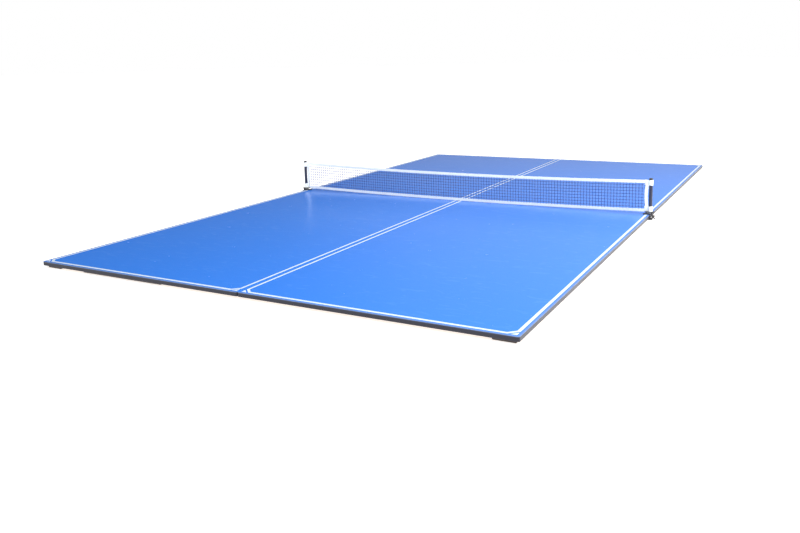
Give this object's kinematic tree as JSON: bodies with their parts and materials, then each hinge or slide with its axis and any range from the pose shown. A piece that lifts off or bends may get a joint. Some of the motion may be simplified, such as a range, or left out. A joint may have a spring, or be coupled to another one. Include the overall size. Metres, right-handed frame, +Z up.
{
  "type": "table tennis conversion top",
  "caption": "Blue table tennis top in separate boards, with white lines and foam pads underneath, made to lie on another table, with a low net on posts that clip over the long edges.",
  "frame": {"origin": "middle of the top's footprint, in the plane that the foam pads stand on", "axes": "+X across the top to the right, +Y along the top away from the near end, +Z up through the playing surface"},
  "size_m": [1.562, 2.74, 0.153],
  "materials": {
    "mdf_core": "raw medium-density fibreboard, sealed where the grooves are cut",
    "playing_surface": "satin blue lacquer laminate, slightly glossy at a low angle",
    "edge_band": "dark grey satin plastic edge band",
    "white_line": "satin white screen-printed ink",
    "foam_pad": "dark brown-black closed-cell foam",
    "foam_strip": "dark brown closed-cell foam",
    "dowel": "hardwood, plain",
    "bush": "plain turned",
    "tongue": "hardwood strip",
    "clamp": "black moulded nylon, fine grain",
    "grip_rubber": "black ribbed rubber",
    "steel": "bright zinc",
    "spring_steel": "oiled wire",
    "post": "dark satin powder coat",
    "cap": "black satin plastic",
    "net_mesh": "dark blue knotless nylon netting",
    "net_tape": "white woven tape, sewn"
  },
  "bodies": {
    "near_left_quarter": {"near_left_board": "mdf_core", "near_left_surface": "playing_surface", "near_left_edge_band": "edge_band", "near_left_lines": "white_line", "near_left_corner_pads": "foam_pad", "near_left_foam_strips": "foam_strip", "near_left_dowels": "dowel", "near_tongue": "tongue", "left_clamp_frame": "clamp", "left_foot_pad": "grip_rubber", "left_pivot_pin": "steel", "left_spring": "spring_steel", "left_post": "post", "left_post_cap": "cap", "left_post_nut": "steel", "right_clamp_frame": "clamp", "right_foot_pad": "grip_rubber", "right_pivot_pin": "steel", "right_spring": "spring_steel", "right_post": "post", "right_post_cap": "cap", "right_post_nut": "steel"},
    "near_right_quarter": {"near_right_board": "mdf_core", "near_right_surface": "playing_surface", "near_right_edge_band": "edge_band", "near_right_lines": "white_line", "near_right_corner_pads": "foam_pad", "near_right_foam_strips": "foam_strip", "near_right_dowels": "dowel"},
    "far_left_quarter": {"far_left_board": "mdf_core", "far_left_surface": "playing_surface", "far_left_edge_band": "edge_band", "far_left_lines": "white_line", "far_left_corner_pads": "foam_pad", "far_left_foam_strips": "foam_strip", "far_left_bushes": "bush", "far_tongue": "tongue"},
    "far_right_quarter": {"far_right_board": "mdf_core", "far_right_surface": "playing_surface", "far_right_edge_band": "edge_band", "far_right_lines": "white_line", "far_right_corner_pads": "foam_pad", "far_right_foam_strips": "foam_strip", "far_right_bushes": "bush"},
    "left_jaw": {"left_clamp_jaw": "clamp", "left_jaw_pad": "grip_rubber"},
    "right_jaw": {"right_clamp_jaw": "clamp", "right_jaw_pad": "grip_rubber"},
    "net": {"net_mesh": "net_mesh", "net_top_tape": "net_tape", "net_bottom_tape": "net_tape", "left_side_tape": "net_tape", "left_top_sleeve": "net_tape", "left_bottom_sleeve": "net_tape", "right_side_tape": "net_tape", "right_top_sleeve": "net_tape", "right_bottom_sleeve": "net_tape"}
  },
  "joints": [
    {"name": "near_right_slide", "type": "slide", "parent": "near_left_quarter", "child": "near_right_quarter", "axis": [0, -1, 0], "range_m": [0, 0.3]},
    {"name": "far_left_slide", "type": "slide", "parent": "near_left_quarter", "child": "far_left_quarter", "axis": [0, 1, 0], "range_m": [0, 0.3]},
    {"name": "far_right_slide", "type": "slide", "parent": "near_left_quarter", "child": "far_right_quarter", "axis": [0, 1, 0], "range_m": [0, 0.3]},
    {"name": "left_clip_squeeze", "type": "hinge", "parent": "near_left_quarter", "child": "left_jaw", "pos_m": [-0.768, 0, 0.0125], "axis": [0, 1, 0], "range_deg": [0, 18], "stiffness_Nm_per_rad": 0.35, "springref_deg": -34.38, "deforming": ["left_spring"]},
    {"name": "right_clip_squeeze", "type": "hinge", "parent": "near_left_quarter", "child": "right_jaw", "pos_m": [0.768, 0, 0.0125], "axis": [0, -1, 0], "range_deg": [0, 18], "stiffness_Nm_per_rad": 0.35, "springref_deg": -34.38, "deforming": ["right_spring"]},
    {"name": "net_lift", "type": "slide", "parent": "near_left_quarter", "child": "net", "axis": [0, 0, 1], "range_m": [0, 0.13]}
  ]
}
